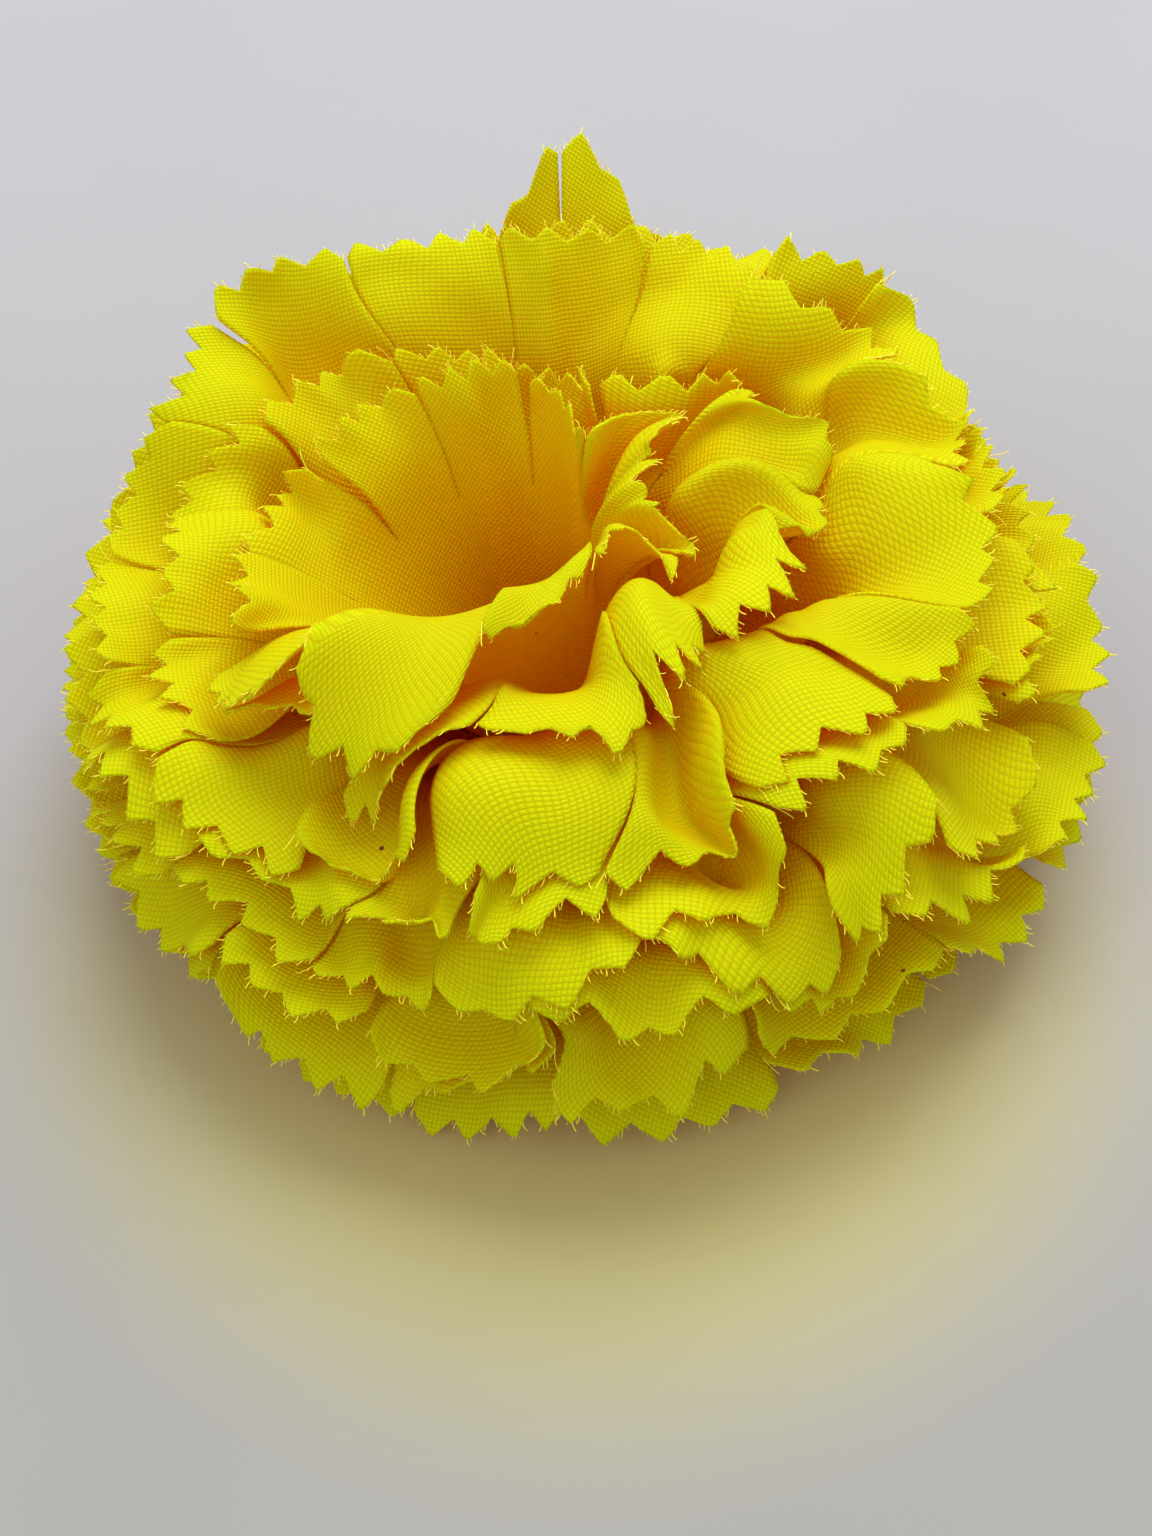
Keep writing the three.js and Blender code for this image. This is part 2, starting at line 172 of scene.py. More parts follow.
@dataclass
class Bloom:
    """The family of nested curves that all the discs are shaped by, in millimetres."""

    first_z: float = 7.0
    stack_pitch: float = 0.95
    pin_head: float = 3.3
    rise_length: float = 9.0
    droop_from: float = 0.35
    centre_turn: float = 16.0
    floor_lean: float = 3.0
    floor_droop: float = 52.0
    swell_degrees: float = 7.0
    swell_waves: tuple[int, ...] = (7, 11, 16)
    swell_drift: tuple[float, ...] = (0.8, -0.6, 0.9)
    still: tuple[float, float, float] = (150, 75, 0.7)
    cloth: float = 0.24
    clearance: float = 0.16
    slide_share: float = 0.35
    small_eddies: int = 30
    eddies: list[Eddy] = field(default_factory=lambda: list(EDDIES))

    def __post_init__(self) -> None:
        """Adds the small creases to the large ones."""
        for k in range(self.small_eddies):
            azimuth = 360 * ((k * 0.618034) % 1)
            elevation = 2 + 62 * draw(k, 7) ** 1.2
            if 95 < azimuth < 260 and elevation > 30:
                continue
            size = 6.5 + 3.5 * draw(k, 8)
            strength = 30 + 26 * draw(k, 9)
            self.eddies.append(Eddy(
                azimuth, elevation, 41 - 0.2 * elevation - 6 * draw(k, 6), size,
                strength * (1 if draw(k, 10) > 0.5 else -1),
                0.6 * strength * (1 if draw(k, 11) > 0.5 else -1),
            ))

    @property
    def top(self) -> int:
        """The level of the innermost disc."""
        return len(DISCS) - 1

    def swell(self, index: int, azimuth: np.ndarray) -> np.ndarray:
        """Waves that are nearly alike in neighbouring discs, in degrees of droop."""
        total = np.zeros_like(azimuth)
        for k, share in enumerate((1, 0.8, 0.6)):
            total += share * np.cos(self.swell_waves[k] * azimuth + self.swell_drift[k] * index + 2 * k)
        return self.swell_degrees * total

    def lean(self, index: int, azimuth: np.ndarray) -> np.ndarray:
        """Lean of a disc above the horizontal, in degrees."""
        if index < 0:
            return np.full_like(azimuth, self.floor_lean)
        value = around(DISCS[min(index, self.top)].lean, azimuth)
        return value + self.centre_turn if index > self.top else value

    def droop(self, index: int, azimuth: np.ndarray) -> np.ndarray:
        """How many degrees of its lean a disc loses at its rim."""
        if index < 0:
            return np.full_like(azimuth, self.floor_droop)
        return around(DISCS[min(index, self.top)].droop, azimuth) + self.swell(index, azimuth)

    def liveliness(self, azimuth: np.ndarray) -> np.ndarray:
        """How freely petals stand apart, less behind the funnel where they lie in a smooth wall."""
        middle, spread, share = self.still
        aside = (azimuth - math.radians(middle) + math.pi) % (2 * math.pi) - math.pi
        return 1 - share * np.exp(-((aside / math.radians(spread)) ** 2))

    def reach(self, index: int, azimuth: np.ndarray) -> np.ndarray:
        """How far a disc's rim is from the pin, along the cloth."""
        plan = DISCS[min(max(index, 0), self.top)]
        length, middle, spread = plan.longer
        aside = (azimuth - math.radians(middle) + math.pi) % (2 * math.pi) - math.pi
        return plan.radius + length * np.exp(-((aside / math.radians(spread)) ** 2))

    def curve(self, level: np.ndarray, length: np.ndarray, azimuth: np.ndarray) -> np.ndarray:
        """The point of a level's curve after a length of cloth.

        Args:
            level: the curve, 0 for the lowest disc, 1 for the next, and what lies between.
            length: the length of cloth from the pin's axis.
            azimuth: the direction from the pin, in radians.

        Returns:
            Distance from the pin's axis and height, in two columns.
        """
        below = np.floor(level).astype(int)
        share = level - below
        lean, droop, reach = (np.zeros_like(level) for _ in range(3))
        for index in np.unique(below):
            here = below == index
            a, f = azimuth[here], share[here]
            for out, value in ((lean, self.lean), (droop, self.droop), (reach, self.reach)):
                out[here] = value(int(index), a) * (1 - f) + value(int(index) + 1, a) * f
        lean, droop = np.radians(lean), np.radians(droop)
        collar = self.pin_head + 0.5 + (self.top - level) * self.stack_pitch
        steps = 22
        rho = np.zeros_like(level)
        z = self.first_z + level * self.stack_pitch
        for k in range(steps):
            s = (k + 0.5) / steps * length
            rise = smoothstep(s, collar, collar + self.rise_length)
            tip = np.maximum(0, (s / reach - self.droop_from) / (1 - self.droop_from))
            slope = lean * rise - droop * tip * tip
            rho += np.cos(slope) * length / steps
            z += np.sin(slope) * length / steps
        return np.stack([rho, z], axis=1)

    def room(
        self, index: int, length: np.ndarray, azimuth: np.ndarray, side: int
    ) -> tuple[np.ndarray, np.ndarray]:
        """The space between a disc and its neighbour, square to the cloth.

        Args:
            index: number of the disc.
            length: the length of cloth from the pin's axis, in millimetres.
            azimuth: the direction from the pin, in radians.
            side: -1 for the neighbour below, 1 for the one above.

        Returns:
            How far the disc may move towards that neighbour, and the whole space, in millimetres.
        """
        level = np.full_like(length, float(index))
        here = self.curve(level, length, azimuth)
        along = self.curve(level, length * 1.02, azimuth) - here
        along /= np.linalg.norm(along, axis=1, keepdims=True) + 1e-12
        gap = self.curve(level + side, length, azimuth) - here
        square = gap[:, 0] * along[:, 1] - gap[:, 1] * along[:, 0]
        apart = np.hypot(square, self.slide_share * np.linalg.norm(gap, axis=1))
        return np.maximum(0, 0.5 * apart - (self.cloth + self.clearance) / 2), np.maximum(apart, 1e-6)

    def crush(self, points: np.ndarray) -> np.ndarray:
        """Turns the points with every eddy that they lie in, one after another."""
        pin_top = np.array([0, 0, self.first_z + self.top * self.stack_pitch])
        for e in self.eddies:
            a, h = math.radians(e.azimuth), math.radians(e.elevation)
            outwards = np.array([math.cos(a) * math.cos(h), math.sin(a) * math.cos(h), math.sin(h)])
            sideways = np.array([-math.sin(a), math.cos(a), 0.0])
            centre = pin_top + outwards * e.distance
            offset = points - centre
            near = np.einsum("ij,ij->i", offset, offset) < e.size**2
            if not near.any():
                continue
            part = offset[near]
            fade = (1 - np.einsum("ij,ij->i", part, part) / e.size**2) ** 2
            part = turned(part, outwards, math.radians(e.along) * fade)
            part = turned(part, sideways, math.radians(e.across) * fade)
            points[near] = centre + part
        return points


@dataclass
class FlatPattern:
    """The points and faces of one cut disc, laid flat."""

    azimuth: np.ndarray
    radius: np.ndarray
    petal: np.ndarray
    across: np.ndarray
    faces: np.ndarray
    rim_rows: list[np.ndarray]


@dataclass
class PetalDisc:
    """One disc of cloth: pinked round the rim, slit into petals, and shaped by the bloom."""

    bloom: Bloom
    index: int
    pin_hole: float = 1.95
    slit_length: float = 13.0
    slit_share: float = 0.035
    tooth_depth: float = 2.2
    teeth: int = 4
    uneven: float = 0.14
    floor_air: float = 1.2
    inner_rows: int = 28
    petal_rows: int = 24

    @property
    def plan(self) -> DiscPlan:
        """The disc's cut."""
        return DISCS[self.index]

    @property
    def name(self) -> str:
        """The name of the CAD node that this disc stands for."""
        return f"petal_disc_{self.index + 1}"

    def __post_init__(self) -> None:
        """Lays the cloth out round the flower so that its petals come out nearly alike in width."""
        turn = math.radians(self.plan.turn) + np.linspace(0, 2 * math.pi, 361)
        level, reach = np.full_like(turn, float(self.index)), self.bloom.reach(self.index, turn)

        def line(length: np.ndarray) -> np.ndarray:
            """The line round the flower at a length of cloth from the pin."""
            rz = self.bloom.curve(level, length, turn)
            return np.stack([rz[:, 0] * np.cos(turn), rz[:, 0] * np.sin(turn), rz[:, 1]], axis=1)

        rim = line(reach)
        outwards = rim - line(reach - 1)
        steps = np.linalg.norm(np.cross(np.diff(rim, axis=0), outwards[:-1] + outwards[1:]) / 2, axis=1)
        self.rim_length = float(steps.sum())
        self.turn_at = turn
        self.share_at = np.concatenate([[0], np.cumsum(steps)]) / self.rim_length
        petals = self.plan.petals
        self.cuts = np.array([
            (p + self.uneven * (2 * draw(self.index * 60 + p % petals, 51) - 1)) / petals
            for p in range(petals + 1)
        ])

    def azimuth(self, petal: np.ndarray | float, place: np.ndarray) -> np.ndarray:
        """The azimuth of a place over a petal's width, from 0 to 1."""
        petal = np.asarray(petal, int)
        share = self.cuts[petal] * (1 - place) + self.cuts[petal + 1] * place
        whole = np.floor(share)
        return np.interp(share - whole, self.share_at, self.turn_at) + 2 * math.pi * whole

    def ruffle(self, azimuth: np.ndarray) -> np.ndarray:
        """Waves round the whole disc, between about -1 and 1."""
        total = np.zeros_like(azimuth)
        for k, (share, waves) in enumerate(((0.5, 0.25), (0.7, 0.44), (0.45, 0.69))):
            count = math.floor(self.plan.petals * waves + 0.5)
            total += share * np.cos(count * azimuth + 2 * math.pi * draw(self.index, 40 + k))
        return total / 1.2

    def tumble(self, petal: np.ndarray, across: np.ndarray, out: np.ndarray) -> np.ndarray:
        """How each petal stands apart from its disc's curve, in shares of the space between discs."""
        draws = np.array([
            [2 * draw(self.index * 50 + p, k) - 1 for k in (1, 2, 3, 4)] for p in range(self.plan.petals)
        ])
        lift, twist, cup, curl = draws[petal].T
        alternate = np.where(petal % 2 == 1, 0.35, -0.35)
        return (
            out * (0.6 * lift + alternate + 0.7 * twist * across)
            + out * (0.5 + 0.8 * cup) * (across * across - 0.4)
            + out**3 * 1.1 * curl
        )

    def tooth_depths(self, petal: int, place: np.ndarray) -> np.ndarray:
        """How far the rim lies inside the tips of its teeth, in millimetres, over a petal's width."""
        tooth = np.minimum((place * self.teeth).astype(int), self.teeth - 1)
        key = self.index * 90 + petal * self.teeth
        tall = np.array([draw(key + t, 31) for t in range(self.teeth)])[tooth]
        lopsided = np.array([draw(key + t, 32) for t in range(self.teeth)])[tooth]
        side = (place * self.teeth) % 1
        tip = 0.5 + 0.36 * (lopsided - 0.5)
        away = np.where(side < tip, (tip - side) / tip, (side - tip) / (1 - tip))
        return self.tooth_depth * (1 - (0.55 + 0.45 * tall) * (1 - np.clip(away, 0, 1) ** 0.92))

    def crinkle(self, azimuth: np.ndarray, r: np.ndarray, out: np.ndarray) -> np.ndarray:
        """Small waves of the cloth, in millimetres, growing towards the rim."""
        x, y = r * np.cos(azimuth), r * np.sin(azimuth)
        total = np.zeros_like(r)
        for k in range(14):
            wavelength = 6 + 10 * draw(self.index * 20 + k, 21)
            heading = 2 * math.pi * draw(self.index * 20 + k, 22)
            phase = 2 * math.pi * draw(self.index * 20 + k, 23)
            total += wavelength / 20 * np.cos(
                2 * math.pi / wavelength * (x * math.cos(heading) + y * math.sin(heading)) + phase
            )
        return total * (0.03 + 0.4 * out**1.3)

    def tooth_curl(self, petal: np.ndarray, place: np.ndarray, out: np.ndarray) -> np.ndarray:
        """How each tooth is bent out of the cloth, in millimetres."""
        tooth = np.minimum((place * self.teeth).astype(int), self.teeth - 1)
        table = np.array([
            [2 * draw(self.index * 80 + p, 60 + t) - 1 for t in range(self.teeth)]
            for p in range(self.plan.petals)
        ])
        near = smoothstep(out, 0.62, 1.0)
        return 0.8 * table[petal, tooth] * near * np.sin(np.pi * ((place * self.teeth) % 1)) ** 2

    def shaped(
        self, azimuth: np.ndarray, r: np.ndarray, petal: np.ndarray, across: np.ndarray
    ) -> np.ndarray:
        """The points of the middle surface that the flat pattern has at azimuths and radii.

        Args:
            azimuth: direction on the flat pattern, in radians.
            r: radius on the flat pattern, in millimetres.
            petal: number of the petal that each point is on.
            across: place over the petal's width, from -1 to 1.

        Returns:
            The points, in millimetres from the pin's foot.
        """
        reach = self.bloom.reach(self.index, azimuth)
        out = np.clip((r - reach + self.slit_length) / self.slit_length, 0, 1)
        growth = smoothstep(r, 7.0, reach * 0.8)
        tumbled = self.plan.tumble * self.bloom.liveliness(azimuth)
        wanted = self.plan.ruffle * growth * self.ruffle(azimuth) + tumbled * self.tumble(petal, across, out)
        fine = self.crinkle(azimuth, r, out) * growth + self.tooth_curl(petal, (across + 1) / 2, out)
        rooms = {side: self.bloom.room(self.index, r, azimuth, side) for side in (-1, 1)}
        wanted += fine / np.maximum(rooms[-1][1], rooms[1][1])
        shift = np.zeros_like(r)
        for side, (limit, apart) in rooms.items():
            share = np.maximum(limit / apart, 1e-4)
            here = (wanted > 0) == (side > 0)
            shift[here] = (share * np.tanh(wanted / share))[here]
        rz = self.bloom.curve(self.index + shift, r, azimuth)
        points = np.stack([rz[:, 0] * np.cos(azimuth), rz[:, 0] * np.sin(azimuth), rz[:, 1]], axis=1)
        points = self.bloom.crush(points)
        low = points[:, 2] < self.floor_air
        points[low, 2] = self.floor_air * np.exp((points[low, 2] - self.floor_air) / self.floor_air)
        return points

    def pattern(self) -> FlatPattern:
        """Cuts the cloth: rings inside the slits, then each petal by rows out to its teeth."""
        petals = self.plan.petals
        columns = self.teeth * max(4, round(self.rim_length / petals / self.teeth / 0.62))
        azimuths, radii, petal_of, across_of = [], [], [], []
        count = 0

        def add(azimuth: np.ndarray, r: np.ndarray, petal: np.ndarray, across: np.ndarray) -> np.ndarray:
            """Adds a row of points and returns their numbers."""
            nonlocal count
            azimuths.append(azimuth)
            radii.append(r)
            petal_of.append(petal)
            across_of.append(across)
            count += len(azimuth)
            return np.arange(count - len(azimuth), count)

        ring_number = np.arange(petals * columns)
        ring_azimuth = self.azimuth(ring_number // columns, ring_number % columns / columns)
        ring_petal = np.zeros(len(ring_azimuth), int)
        ring_across = np.zeros(len(ring_azimuth))
        foot = self.bloom.reach(self.index, ring_azimuth) - self.slit_length
        rings = []
        for k in range(self.inner_rows + 1):
            t = (k / self.inner_rows) ** 0.85
            ring_radius = self.pin_hole + t * (foot - self.pin_hole)
            rings.append(add(ring_azimuth, ring_radius, ring_petal, ring_across))
        faces = []
        for inner, outer in zip(rings, rings[1:]):
            faces.append(np.stack([inner, outer, np.roll(outer, -1), np.roll(inner, -1)], axis=1))

        rim_rows = []
        place = np.arange(columns + 1) / columns
        across = 2 * place - 1
        for petal in range(petals):
            depth = self.tooth_depths(petal, place)
            row = rings[-1][(petal * columns + np.arange(columns + 1)) % (petals * columns)]
            reach = self.bloom.reach(self.index, self.azimuth(petal, place))
            for k in range(1, self.petal_rows + 1):
                t = 1 - (1 - k / self.petal_rows) ** 1.12
                out = t * (1 - depth / self.slit_length)
                azimuth = self.azimuth(petal, 0.5 + 0.5 * across * (1 - self.slit_share * out))
                new = add(azimuth, reach - self.slit_length + self.slit_length * out,
                          np.full(columns + 1, petal), across)
                faces.append(np.stack([row[:-1], new[:-1], new[1:], row[1:]], axis=1))
                row = new
            rim_rows.append(row)

        return FlatPattern(
            np.concatenate(azimuths), np.concatenate(radii), np.concatenate(petal_of),
            np.concatenate(across_of), np.concatenate(faces)[:, ::-1], rim_rows,
        )

    def flat_area(self) -> float:
        """The area of the flat cut in square metres, not taken from the faces of the folded mesh.

        The cut is whole inside the slits. Each petal is as wide as its share of the bent rim's smooth
        line, so there are notches between the petals that close as the disc is bent up.
        """
        cut = self.pattern()
        turn = 2 * math.pi * np.interp(cut.azimuth, self.turn_at, self.share_at)
        x = (cut.radius * np.cos(turn))[cut.faces]
        y = (cut.radius * np.sin(turn))[cut.faces]
        areas = np.abs((x * np.roll(y, -1, axis=1) - np.roll(x, -1, axis=1) * y).sum(axis=1)) / 2
        past_foot = cut.radius - self.bloom.reach(self.index, cut.azimuth) + self.slit_length
        on_petal = past_foot[cut.faces].min(axis=1) > -FOOT_TOLERANCE
        petal_width = min(1.0, self.rim_length / (2 * math.pi * self.plan.radius))
        whole = float(areas.sum())
        notched = float(areas[~on_petal].sum() + petal_width * areas[on_petal].sum())
        LOG.info("%s flat: whole round %.0f mm2, with its notches %.0f mm2", self.name, whole, notched)
        return notched * MM**2

    def build(self, origin: Vector) -> tuple[bpy.types.Object, bpy.types.Object]:
        """Makes the disc's mesh and, along its rim, the line that its frayed threads grow from."""
        cut = self.pattern()
        azimuth, r = cut.azimuth, cut.radius
        points = self.shaped(azimuth, r, cut.petal, cut.across) * MM + np.array(origin)
        mesh = bpy.data.meshes.new(self.name + "_cloth")
        mesh.from_pydata(points.tolist(), [], cut.faces.tolist())
        mesh.update()
        uv = mesh.uv_layers.new(name="cut")
        corner = np.empty(len(mesh.loops), int)
        mesh.loops.foreach_get("vertex_index", corner)
        gathered = self.rim_length / (2 * math.pi * self.plan.radius)
        share = np.interp(azimuth, self.turn_at, self.share_at) * gathered + draw(self.index, 77)
        flat_turn = 2 * math.pi * share
        flat = np.stack([r * np.cos(flat_turn), r * np.sin(flat_turn)], axis=1) * MM
        uv.data.foreach_set("uv", flat[corner].astype(np.float32).ravel())
        reach = self.bloom.reach(self.index, azimuth)
        rimward = mesh.attributes.new("rimward", "FLOAT", "POINT")
        rimward.data.foreach_set("value", np.clip(r / reach, 0, 1).astype(np.float32))
        mesh.shade_smooth()
        cloth = bpy.data.objects.new(self.name + "_cloth", mesh)
        bpy.context.scene.collection.objects.link(cloth)
        return cloth, self.rim_line(points, mesh, cut.rim_rows)

    def rim_line(
        self, points: np.ndarray, mesh: bpy.types.Mesh, rim_rows: list[np.ndarray]
    ) -> bpy.types.Object:
        """The pinked edge as a line of points that know which way is out of the cloth."""
        normals = np.empty(len(points) * 3, np.float32)
        mesh.vertices.foreach_get("normal", normals)
        normals = normals.reshape(-1, 3)
        spots, outward, square, edges = [], [], [], []
        for row in rim_rows:
            line = points[row]
            inner = points[row - len(row)]
            out = line - inner
            out /= np.linalg.norm(out, axis=1, keepdims=True) + 1e-12
            first = len(spots)
            spots += line.tolist()
            outward += out.tolist()
            square += normals[row].tolist()
            edges += [(first + k, first + k + 1) for k in range(len(row) - 1)]
        line_mesh = bpy.data.meshes.new(self.name + "_rim")
        line_mesh.from_pydata(spots, edges, [])
        for name, values in (("outward", outward), ("square", square)):
            attribute = line_mesh.attributes.new(name, "FLOAT_VECTOR", "POINT")
            attribute.data.foreach_set("vector", np.asarray(values, np.float32).ravel())
        line = bpy.data.objects.new(self.name + "_rim", line_mesh)
        bpy.context.scene.collection.objects.link(line)
        return line


# ---------------------------------------------------------------- threads


class Fray(Enum):
    """How the threads at a cut edge stand."""

    SHORT = "short"
    LONG = "long"


@dataclass
class FrayedThreads:
    """Threads that have come loose along a pinked edge, made by Geometry Nodes on the rim's line."""

    fray: Fray
    spacing: float
    length: float
    thickness: float
    seed: int

    def tree(self, material: bpy.types.Material) -> bpy.types.GeometryNodeTree:
        """Builds the node tree: points along the line, a bent thread at each, then plain mesh."""
        tree = bpy.data.node_groups.new(f"frayed_threads_{self.fray.value}_{self.seed}", "GeometryNodeTree")
        face = tree.interface
        face.new_socket("Geometry", in_out="INPUT", socket_type="NodeSocketGeometry")
        sizes = (("Spacing", self.spacing), ("Length", self.length), ("Thickness", self.thickness))
        for name, value in sizes:
            socket = face.new_socket(name, in_out="INPUT", socket_type="NodeSocketFloat")
            socket.default_value = value
        seed = face.new_socket("Seed", in_out="INPUT", socket_type="NodeSocketInt")
        seed.default_value = self.seed
        face.new_socket("Geometry", in_out="OUTPUT", socket_type="NodeSocketGeometry")
        nodes, links = tree.nodes, tree.links

        def node(kind: str, **settings: object) -> bpy.types.Node:
            """Adds a node with its settings."""
            made = nodes.new(kind)
            for key, value in settings.items():
                setattr(made, key, value)
            return made

        def random(kind: str, low: float, high: float, offset: int) -> bpy.types.NodeSocket:
            """A random value or vector for each point."""
            made = node("FunctionNodeRandomValue", data_type=kind)
            slots = {"FLOAT": (2, 3, 1), "FLOAT_VECTOR": (0, 1, 0)}[kind]
            made.inputs[slots[0]].default_value = low if kind == "FLOAT" else (low,) * 3
            made.inputs[slots[1]].default_value = high if kind == "FLOAT" else (high,) * 3
            add = node("ShaderNodeMath", operation="ADD")
            links.new(source.outputs["Seed"], add.inputs[0])
            add.inputs[1].default_value = offset
            links.new(add.outputs[0], made.inputs["Seed"])
            return made.outputs[slots[2]]

        source = node("NodeGroupInput")
        sink = node("NodeGroupOutput")
        curve = node("GeometryNodeMeshToCurve")
        points = node("GeometryNodeCurveToPoints", mode="LENGTH")
        links.new(source.outputs["Geometry"], curve.inputs["Mesh"])
        links.new(curve.outputs["Curve"], points.inputs["Curve"])
        links.new(source.outputs["Spacing"], points.inputs["Length"])

        outward = node("GeometryNodeInputNamedAttribute", data_type="FLOAT_VECTOR")
        outward.inputs["Name"].default_value = "outward"
        jitter = node("ShaderNodeVectorMath", operation="ADD")
        links.new(outward.outputs[0], jitter.inputs[0])
        links.new(random("FLOAT_VECTOR", -0.45, 0.45, 1), jitter.inputs[1])
        align = node("FunctionNodeAlignRotationToVector", axis="Z")
        links.new(jitter.outputs[0], align.inputs["Vector"])

        spine = node("GeometryNodeCurvePrimitiveBezierSegment")
        spine.inputs["Resolution"].default_value = 4 if self.fray is Fray.SHORT else 9
        for name, spot in (
            ("Start", (0, 0, -0.18)), ("Start Handle", (0, 0, 0.3)),
            ("End Handle", (0.12, 0.05, 0.75)), ("End", (0.38, 0.1, 0.95)),
        ):
            spine.inputs[name].default_value = spot
        scale_up = node("GeometryNodeTransform")
        stretch = node("ShaderNodeCombineXYZ")
        for k in range(3):
            links.new(source.outputs["Length"], stretch.inputs[k])
        links.new(spine.outputs[0], scale_up.inputs["Geometry"])
        links.new(stretch.outputs[0], scale_up.inputs["Scale"])
        ring = node("GeometryNodeCurvePrimitiveCircle")
        ring.inputs["Resolution"].default_value = 4
        half = node("ShaderNodeMath", operation="MULTIPLY")
        links.new(source.outputs["Thickness"], half.inputs[0])
        half.inputs[1].default_value = 0.5
        links.new(half.outputs[0], ring.inputs["Radius"])
        tube = node("GeometryNodeCurveToMesh")
        tube.inputs["Fill Caps"].default_value = True
        links.new(scale_up.outputs["Geometry"], tube.inputs["Curve"])
        links.new(ring.outputs[0], tube.inputs["Profile Curve"])

        place = node("GeometryNodeInstanceOnPoints")
        links.new(points.outputs["Points"], place.inputs["Points"])
        links.new(tube.outputs["Mesh"], place.inputs["Instance"])
        links.new(align.outputs["Rotation"], place.inputs["Rotation"])
        links.new(random("FLOAT", 0.35, 1.25, 2), place.inputs["Scale"])
        keep = node("ShaderNodeMath", operation="GREATER_THAN")
        links.new(random("FLOAT", 0.0, 1.0, 3), keep.inputs[0])
        keep.inputs[1].default_value = 0.45
        links.new(keep.outputs[0], place.inputs["Selection"])
        spin = node("GeometryNodeRotateInstances")
        turn = node("ShaderNodeCombineXYZ")
        links.new(random("FLOAT", 0.0, 6.28, 4), turn.inputs["Z"])
        links.new(place.outputs["Instances"], spin.inputs["Instances"])
        links.new(turn.outputs[0], spin.inputs["Rotation"])
        real = node("GeometryNodeRealizeInstances")
        finish = node("GeometryNodeSetMaterial")
        finish.inputs["Material"].default_value = material
        links.new(spin.outputs["Instances"], real.inputs["Geometry"])
        links.new(real.outputs["Geometry"], finish.inputs["Geometry"])
        links.new(finish.outputs["Geometry"], sink.inputs["Geometry"])
        return tree

    def grow(self, line: bpy.types.Object, name: str, material: bpy.types.Material) -> bpy.types.Object:
        """Grows the threads on a rim's line and returns them as one plain mesh.

        Args:
            line: the rim's line, with its outward directions.
            name: the name of the new piece.
            material: the threads' finish.

        Returns:
            The threads' object.
        """
        modifier = line.modifiers.new("fray", "NODES")
        modifier.node_group = self.tree(material)
        sockets = {
            s.name: s.identifier for s in modifier.node_group.interface.items_tree if s.in_out == "INPUT"
        }
        modifier[sockets["Spacing"]] = self.spacing
        modifier[sockets["Length"]] = self.length
        modifier[sockets["Thickness"]] = self.thickness
        modifier[sockets["Seed"]] = self.seed
        depsgraph = bpy.context.evaluated_depsgraph_get()
        mesh = bpy.data.meshes.new_from_object(line.evaluated_get(depsgraph), depsgraph=depsgraph)
        mesh.name = name
        line.modifiers.remove(modifier)
        mesh.materials.clear()
        mesh.materials.append(material)
        mesh.polygons.foreach_set("material_index", np.zeros(len(mesh.polygons), np.int32))
        mesh.shade_smooth()
        threads = bpy.data.objects.new(name, mesh)
        bpy.context.scene.collection.objects.link(threads)
        return threads


# ---------------------------------------------------------------- finishes


class Finish:
    """Small helpers to write shader nodes with."""

    def __init__(self, tree: bpy.types.NodeTree) -> None:
        """Keeps the tree that nodes are added to."""
        self.tree = tree

    def node(self, kind: str, **settings: object) -> bpy.types.Node:
        """Adds a node with its settings."""
        made = self.tree.nodes.new(kind)
        for key, value in settings.items():
            setattr(made, key, value)
        return made

    def put(self, socket: bpy.types.NodeSocket, value: object) -> None:
        """Links a socket to a socket, or sets its value."""
        if isinstance(value, bpy.types.NodeSocket):
            self.tree.links.new(value, socket)
        else:
            socket.default_value = value

    def math(self, operation: str, a: object, b: object = 0.0, c: object = 0.0) -> bpy.types.NodeSocket:
        """The result of a Math node."""
        made = self.node("ShaderNodeMath", operation=operation)
        for socket, value in zip(made.inputs, (a, b, c)):
            self.put(socket, value)
        return made.outputs[0]

    def blend(self, share: object, a: object, b: object) -> bpy.types.NodeSocket:
        """The result of mixing two colours."""
        made = self.node("ShaderNodeMix", data_type="RGBA")
        self.put(made.inputs["Factor"], share)
        self.put(made.inputs[6], a)
        self.put(made.inputs[7], b)
        return made.outputs[2]

    def noise(self, vector: object, scale: float, detail: float = 2.0) -> bpy.types.NodeSocket:
        """The value of a Noise Texture."""
        made = self.node("ShaderNodeTexNoise")
        self.put(made.inputs["Vector"], vector)
        made.inputs["Scale"].default_value = scale
        made.inputs["Detail"].default_value = detail
        return made.outputs[0]


